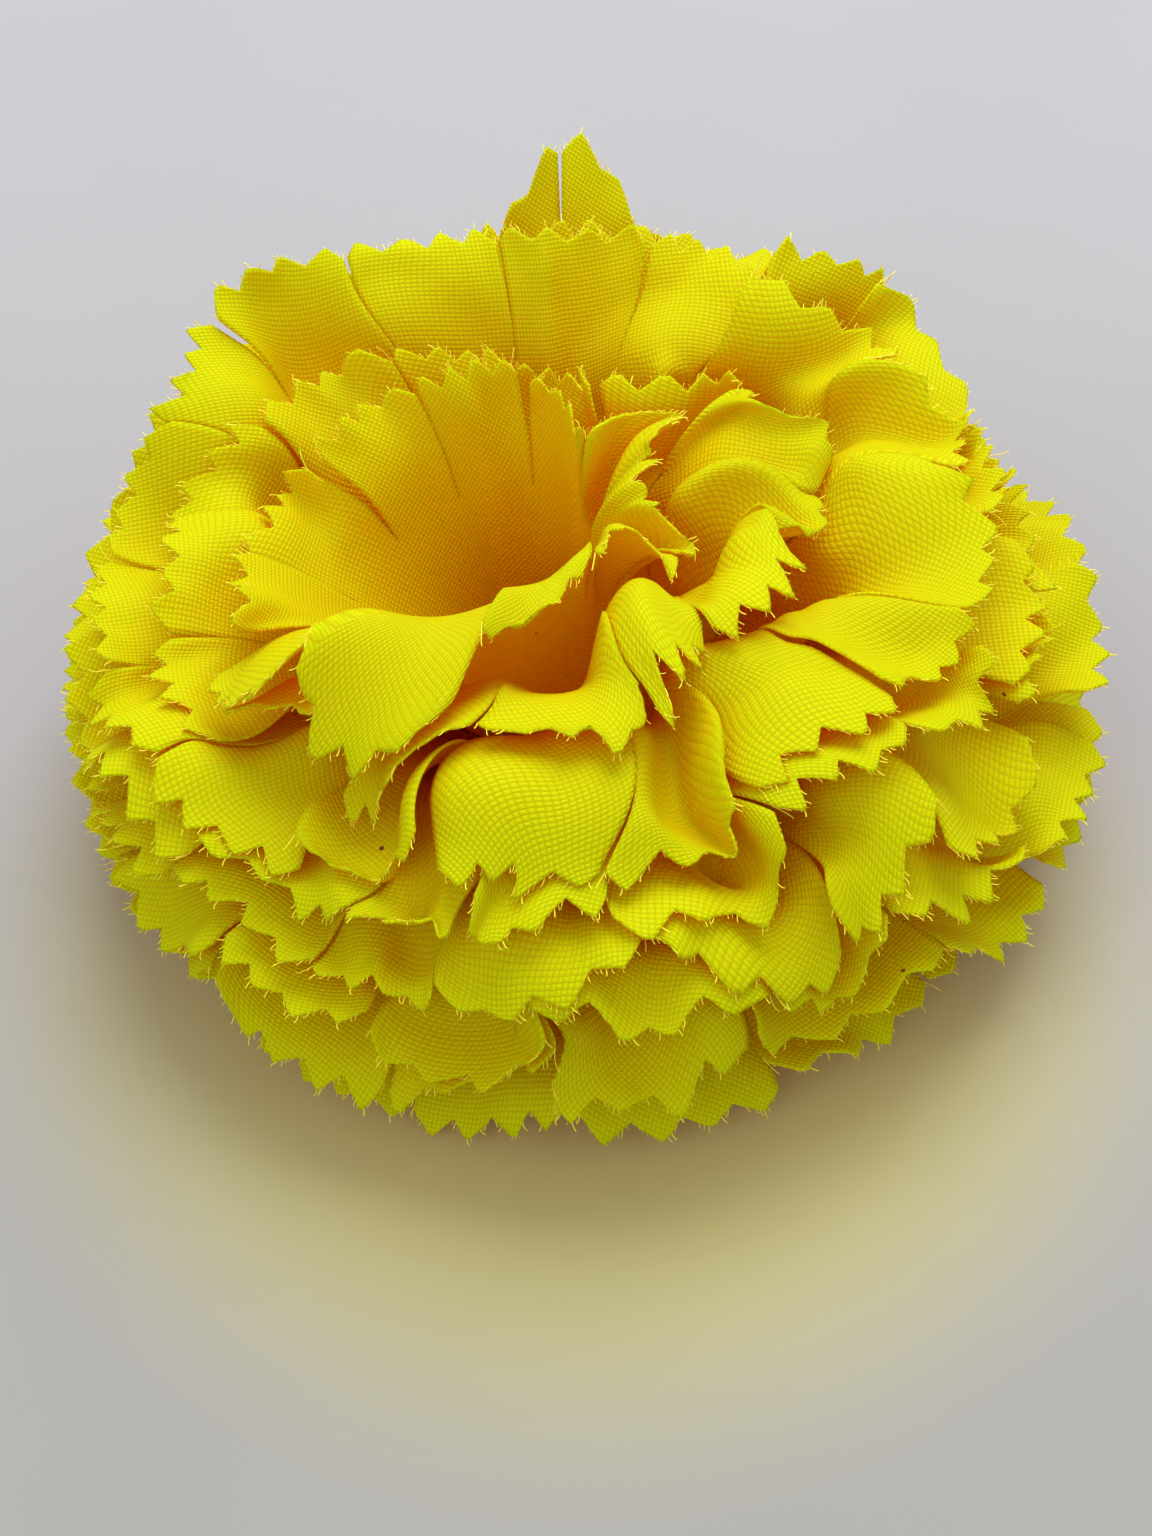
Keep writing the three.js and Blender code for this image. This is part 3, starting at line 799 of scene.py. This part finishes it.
def weave_group() -> bpy.types.ShaderNodeTree:
    """A plain weave on flat cloth: the height of its threads, and the gaps between them."""
    tree = bpy.data.node_groups.new("plain_weave", "ShaderNodeTree")
    face = tree.interface
    face.new_socket("Vector", in_out="INPUT", socket_type="NodeSocketVector")
    pitch = face.new_socket("Thread pitch", in_out="INPUT", socket_type="NodeSocketFloat")
    pitch.default_value = 0.00048
    face.new_socket("Height", in_out="OUTPUT", socket_type="NodeSocketFloat")
    face.new_socket("Gap", in_out="OUTPUT", socket_type="NodeSocketFloat")
    made = Finish(tree)
    source, sink = made.node("NodeGroupInput"), made.node("NodeGroupOutput")
    split = made.node("ShaderNodeSeparateXYZ")
    wander = made.node("ShaderNodeVectorMath", operation="MULTIPLY_ADD")
    drift = made.node("ShaderNodeTexNoise")
    made.put(drift.inputs["Vector"], source.outputs["Vector"])
    drift.inputs["Scale"].default_value = 70.0
    drift.inputs["Detail"].default_value = 1.0
    made.put(wander.inputs[0], drift.outputs[1])
    wander.inputs[1].default_value = (0.00025,) * 3
    made.put(wander.inputs[2], source.outputs["Vector"])
    made.put(split.inputs[0], wander.outputs[0])
    turns = [
        made.math("MULTIPLY", made.math("DIVIDE", split.outputs[k], source.outputs["Thread pitch"]), math.pi)
        for k in (0, 1)
    ]
    sines = [made.math("SINE", t) for t in turns]
    product = made.math("MULTIPLY", sines[0], sines[1])
    warp_on_top = made.math("GREATER_THAN", product, 0.0)
    sharp = [made.math("POWER", made.math("ABSOLUTE", s), 0.55) for s in sines]
    soft = [made.math("POWER", made.math("ABSOLUTE", s), 1.3) for s in sines]
    warp = made.math("MULTIPLY", sharp[1], soft[0])
    weft = made.math("MULTIPLY", sharp[0], soft[1])
    height = made.math(
        "ADD", made.math("MULTIPLY", warp, warp_on_top),
        made.math("MULTIPLY", weft, made.math("SUBTRACT", 1.0, warp_on_top)),
    )
    made.put(sink.inputs["Height"], height)
    made.put(sink.inputs["Gap"], made.math("POWER", made.math("SUBTRACT", 1.0, height), 3.0))
    return tree


@dataclass(frozen=True)
class WovenCloth:
    """Bright yellow woven polyester whose colour holds painted light. The camera sees a lit copy: greener at
    the rim, with painted orange shade towards the heart and painted dark shade at the throat and between the
    threads. Light that bounces off it or passes through it takes an orange copy, which paints orange shade
    into the folds.
    """

    name: str = "petal_cloth"
    # Lit colour for the camera: greener at the rim where the tips catch the light, painted orange shade
    # towards the heart.
    rim: tuple[float, float, float] = (0.65, 0.97, 0.001)
    heart_shade: tuple[float, float, float] = (0.76, 0.67, 0.001)
    # Painted shade: dark orange brown for the cloth nearest the pin, deep in the funnel.
    throat_shade: tuple[float, float, float] = (0.34, 0.17, 0.001)
    through: tuple[float, float, float] = (0.62, 0.94, 0.0)
    # Colour for every ray but the camera's: painted light, an orange copy of the cloth that paints orange
    # shade into the folds and deep in the flower.
    bounced_orange_shade: tuple[float, float, float] = (0.985, 0.40, 0.0)
    throat_shade_reach: float = 3.0
    see_through: float = 0.42
    # Painted shade in the gaps between the threads of the weave.
    gap_shade_colour: tuple[float, float, float] = (0.36, 0.27, 0.001)
    gap_shade_share: float = 0.5
    patch_scale: float = 55.0
    patch_share: float = 0.12
    lint_colour: tuple[float, float, float] = (0.03, 0.035, 0.02)
    lint_scale: float = 26.0
    lint_radius: float = 0.0002
    weave_depth: float = 0.00006
    thread_pitch: float = 0.0004

    def material(self, weave: bpy.types.ShaderNodeTree) -> bpy.types.Material:
        """Builds the cloth's material."""
        material = bpy.data.materials.new(self.name)
        material.use_nodes = True
        tree = material.node_tree
        tree.nodes.clear()
        made = Finish(tree)
        uv = made.node("ShaderNodeUVMap", uv_map="cut")
        threads = made.node("ShaderNodeGroup", node_tree=weave)
        made.put(threads.inputs["Vector"], uv.outputs["UV"])
        threads.inputs["Thread pitch"].default_value = self.thread_pitch
        height, gap = threads.outputs["Height"], threads.outputs["Gap"]
        path = made.node("ShaderNodeLightPath")
        patch = made.noise(uv.outputs["UV"], self.patch_scale, 3.0)
        rimward = made.node("ShaderNodeAttribute", attribute_name="rimward").outputs["Fac"]
        # Painted shade: the colour turns orange from the rim towards the heart.
        heart_shade_share = made.math("POWER", made.math("SUBTRACT", 1.0, rimward), 0.8)
        direct = made.blend(heart_shade_share, (*self.rim, 1), (*self.heart_shade, 1))
        direct = made.blend(made.math("MULTIPLY", patch, self.patch_share), direct, (0.0, 0.0, 0.0, 1))
        # Painted shade: the cloth darkens to the throat colour near the pin.
        throat_shade_share = made.math("SUBTRACT", 1.0, made.math("MULTIPLY", rimward, self.throat_shade_reach))
        direct = made.blend(throat_shade_share, direct, (*self.throat_shade, 1))
        # Painted shade: the weave gaps are darkened.
        threads_lit = made.blend(made.math("MULTIPLY", gap, self.gap_shade_share), direct, (*self.gap_shade_colour, 1))
        seen = path.outputs["Is Camera Ray"]
        lint = made.node("ShaderNodeTexVoronoi", voronoi_dimensions="2D", feature="F1")
        made.put(lint.inputs["Vector"], uv.outputs["UV"])
        lint.inputs["Scale"].default_value = self.lint_scale
        speck = made.math("LESS_THAN", lint.outputs["Distance"], self.lint_radius * self.lint_scale)
        flecked = made.blend(speck, threads_lit, (*self.lint_colour, 1))
        # Painted light: camera rays see the lit colour, every bounced ray sees the orange copy, so the folds
        # fill with painted orange shade.
        body = made.blend(seen, (*self.bounced_orange_shade, 1), flecked)
        bump = made.node("ShaderNodeBump")
        bump.inputs["Strength"].default_value = 1.0
        bump.inputs["Distance"].default_value = self.weave_depth
        made.put(bump.inputs["Height"], height)
        skin = made.node("ShaderNodeBsdfPrincipled")
        made.put(skin.inputs["Base Color"], body)
        skin.inputs["Roughness"].default_value = 0.62
        skin.inputs["Specular IOR Level"].default_value = 0.05
        made.put(skin.inputs["Normal"], bump.outputs[0])
        back = made.node("ShaderNodeBsdfTranslucent")
        # Painted light: light passing through shows greener to the camera and as the orange copy to every
        # other ray.
        made.put(back.inputs["Color"], made.blend(seen, (*self.bounced_orange_shade, 1), (*self.through, 1)))
        made.put(back.inputs["Normal"], bump.outputs[0])
        mixed = made.node("ShaderNodeMixShader")
        mixed.inputs[0].default_value = self.see_through
        made.put(mixed.inputs[1], skin.outputs[0])
        made.put(mixed.inputs[2], back.outputs[0])
        made.put(made.node("ShaderNodeOutputMaterial").inputs[0], mixed.outputs[0])
        return material


@dataclass(frozen=True)
class LooseThread:
    """The same polyester as single threads."""

    name: str = "loose_thread"
    colour: tuple[float, float, float] = (0.9, 0.88, 0.03)

    def material(self) -> bpy.types.Material:
        """Builds the threads' material."""
        material = bpy.data.materials.new(self.name)
        material.use_nodes = True
        made = Finish(material.node_tree)
        skin = material.node_tree.nodes["Principled BSDF"]
        place = made.node("ShaderNodeTexCoord")
        speckle = made.noise(place.outputs["Object"], 900.0)
        made.put(skin.inputs["Base Color"], made.blend(
            speckle, (*self.colour, 1), tuple(0.85 * c for c in self.colour) + (1,)))
        skin.inputs["Roughness"].default_value = 0.5
        skin.inputs["Specular IOR Level"].default_value = 0.3
        return material


@dataclass(frozen=True)
class MouldedPlastic:
    """Green polyethylene as it comes from the mould."""

    name: str = "calyx_plastic"
    colour: tuple[float, float, float] = (0.22, 0.30, 0.035)

    def material(self) -> bpy.types.Material:
        """Builds the plastic's material."""
        material = bpy.data.materials.new(self.name)
        material.use_nodes = True
        made = Finish(material.node_tree)
        skin = material.node_tree.nodes["Principled BSDF"]
        place = made.node("ShaderNodeTexCoord")
        cloud = made.noise(place.outputs["Object"], 420.0, 3.0)
        made.put(skin.inputs["Base Color"], made.blend(
            cloud, (*self.colour, 1), tuple(0.8 * c for c in self.colour) + (1,)))
        bump = made.node("ShaderNodeBump")
        bump.inputs["Distance"].default_value = 0.00005
        made.put(bump.inputs["Height"], made.noise(place.outputs["Object"], 2600.0, 2.0))
        made.put(skin.inputs["Normal"], bump.outputs[0])
        skin.inputs["Roughness"].default_value = 0.42
        return material


# ---------------------------------------------------------------- the flower head


@dataclass
class FlowerHead:
    """All the pieces of the head, on the frame's one body."""

    cloth_thickness: float = 0.24
    frays: tuple[FrayedThreads, ...] = (
        FrayedThreads(Fray.SHORT, 0.00045, 0.0006, 0.00009, 3),
        FrayedThreads(Fray.LONG, 0.021, 0.0019, 0.00008, 9),
    )

    def build(self) -> list[bpy.types.Object]:
        """Builds every piece and hangs it on the root body."""
        low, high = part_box("calyx")
        origin = Vector(((low[0] + high[0]) / 2, (low[1] + high[1]) / 2, 0.0))
        bloom = Bloom(cloth=self.cloth_thickness)
        cloth_finish = WovenCloth().material(weave_group())
        thread_finish = LooseThread().material()
        made = []
        for index, plan in enumerate(DISCS):
            disc = PetalDisc(bloom, index)
            cloth, line = disc.build(origin)
            cloth.data.materials.append(cloth_finish)
            wall = cloth.modifiers.new("thickness", "SOLIDIFY")
            wall.thickness = self.cloth_thickness * MM
            wall.offset = 0.0
            wall.use_rim = True
            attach(cloth, "root")
            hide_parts(disc.name)
            fringes = []
            for fray in self.frays:
                threads = fray.grow(line, f"{disc.name}_frays_{fray.fray.value}", thread_finish)
                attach(threads, "root")
                fringes.append(threads)
            bpy.data.objects.remove(line)
            area = disc.flat_area()
            made += [cloth, *fringes]
        return made

    def dress_plastic(self) -> None:
        """Gives the calyx and the pin their finish."""
        plastic = MouldedPlastic().material()
        for name in ("calyx", "centre_pin"):
            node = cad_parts[name]
            for k in range(max(1, len(node.material_slots))):
                if node.material_slots:
                    node.material_slots[k].material = plastic
                else:
                    node.data.materials.append(plastic)
            LOG.info("%s dressed", name)


# ---------------------------------------------------------------- the studio


@dataclass
class Studio:
    """Pale floor, soft light and the camera."""

    aim: tuple[float, float, float] = (-0.0008, -0.0148, 0.0192)
    distance: float = 0.222
    elevation: float = 51.0
    field_of_view: float = 33.3
    # Floor colours far from and near the camera: a painted light falloff, darker and warmer nearer the
    # camera.
    far_board_lit: tuple[float, float, float] = (0.325, 0.322, 0.337)
    near_board_shaded: tuple[float, float, float] = (0.272, 0.265, 0.246)
    # Painted light: a yellow spot round the flower, offset towards the camera, for the light that the cloth
    # throws on the floor.
    cloth_light_tint: tuple[float, float, float] = (0.50, 0.46, 0.12)
    cloth_light_shift: tuple[float, float, float] = (0.0, 0.018, 0.0)
    floor_half: float = 3.0
    sky: tuple[float, float, float] = (0.95, 0.975, 1.0)
    sky_strength: float = 0.86

    def floor(self) -> None:
        """A wide pale floor with a faint tooth, painted darker and warmer towards the camera as a painted
        light falloff, and with a painted yellow spot round the flower for the light that the cloth throws on
        it.
        """
        mesh = bpy.data.meshes.new("floor")
        half = self.floor_half
        corners = [(-half, -half, 0), (half, -half, 0), (half, half, 0), (-half, half, 0)]
        mesh.from_pydata(corners, [], [(0, 1, 2, 3)])
        floor = bpy.data.objects.new("floor", mesh)
        bpy.context.scene.collection.objects.link(floor)
        material = bpy.data.materials.new("floor_board")
        material.use_nodes = True
        made = Finish(material.node_tree)
        skin = material.node_tree.nodes["Principled BSDF"]
        place = made.node("ShaderNodeTexCoord")
        cloud = made.noise(place.outputs["Object"], 30.0, 6.0)
        split = made.node("ShaderNodeSeparateXYZ")
        made.put(split.inputs[0], place.outputs["Object"])
        # Painted light falloff: the floor darkens and warms towards the camera.
        falloff_share = made.node("ShaderNodeMapRange", interpolation_type="SMOOTHSTEP")
        made.put(falloff_share.inputs["Value"], split.outputs["Y"])
        for socket, value in (("From Min", 0.12), ("From Max", -0.12)):
            falloff_share.inputs[socket].default_value = value
        board = made.blend(falloff_share.outputs[0], (*self.far_board_lit, 1), (*self.near_board_shaded, 1))
        board = made.blend(made.math("MULTIPLY", cloud, 0.07), board, (0.0, 0.0, 0.0, 1))
        # Painted light: the floor turns yellow round the flower, as if lit by light from the cloth.
        reach = made.node("ShaderNodeVectorMath", operation="LENGTH")
        shifted = made.node("ShaderNodeVectorMath", operation="ADD")
        made.put(shifted.inputs[0], place.outputs["Object"])
        shifted.inputs[1].default_value = self.cloth_light_shift
        made.put(reach.inputs[0], shifted.outputs[0])
        cloth_light_share = made.node("ShaderNodeMapRange", interpolation_type="SMOOTHSTEP")
        made.put(cloth_light_share.inputs["Value"], reach.outputs["Value"])
        for socket, value in (("From Min", 0.026), ("From Max", 0.060), ("To Min", 0.8), ("To Max", 0.0)):
            cloth_light_share.inputs[socket].default_value = value
        made.put(skin.inputs["Base Color"], made.blend(cloth_light_share.outputs[0], board, (*self.cloth_light_tint, 1)))
        skin.inputs["Roughness"].default_value = 0.8
        mesh.materials.append(material)

    def lamp(self, name: str, place: tuple[float, float, float], size: float, power: float,
             colour: tuple[float, float, float]) -> None:
        """Hangs one soft square lamp that faces the flower."""
        data = bpy.data.lights.new(name, "AREA")
        data.size = size
        data.energy = power
        data.color = colour
        lamp = bpy.data.objects.new(name, data)
        lamp.location = place
        lamp.rotation_euler = (Vector((0, 0, 0.02)) - lamp.location).to_track_quat("-Z", "Y").to_euler()
        bpy.context.scene.collection.objects.link(lamp)

    def light(self) -> None:
        """The sky and the lamps."""
        world = bpy.data.worlds.new("room")
        world.use_nodes = True
        background = world.node_tree.nodes["Background"]
        background.inputs[0].default_value = (*self.sky, 1)
        background.inputs[1].default_value = self.sky_strength
        scene = bpy.context.scene
        scene.world = world
        self.lamp("key", (0.08, 0.40, 0.75), 0.6, 8.2, (1.0, 1.0, 0.99))
        self.lamp("fill", (-0.35, -0.5, 0.6), 0.5, 1.2, (1.0, 0.99, 0.97))
        scene.view_settings.view_transform = "Standard"
        scene.cycles.diffuse_bounces = 8
        scene.cycles.max_bounces = 14

    def camera(self) -> None:
        """The camera, without depth of field."""
        data = bpy.data.cameras.new("camera")
        data.sensor_width = 36.0
        data.lens = 18.0 / math.tan(math.radians(self.field_of_view / 2))
        camera = bpy.data.objects.new("camera", data)
        e = math.radians(self.elevation)
        back = Vector((0, -math.cos(e), math.sin(e)))
        camera.location = Vector(self.aim) + back * self.distance
        camera.rotation_euler = (-back).to_track_quat("-Z", "Y").to_euler()
        bpy.context.scene.collection.objects.link(camera)
        bpy.context.scene.camera = camera


def main() -> None:
    """Builds the flower head and the studio."""
    logging.basicConfig(level=logging.INFO, format="%(name)s: %(message)s")
    studio = Studio()
    studio.camera()
    studio.floor()
    studio.light()
    head = FlowerHead()
    made = head.build()
    head.dress_plastic()
    LOG.info("%d pieces", len(made))


if __name__ == "__main__":
    main()
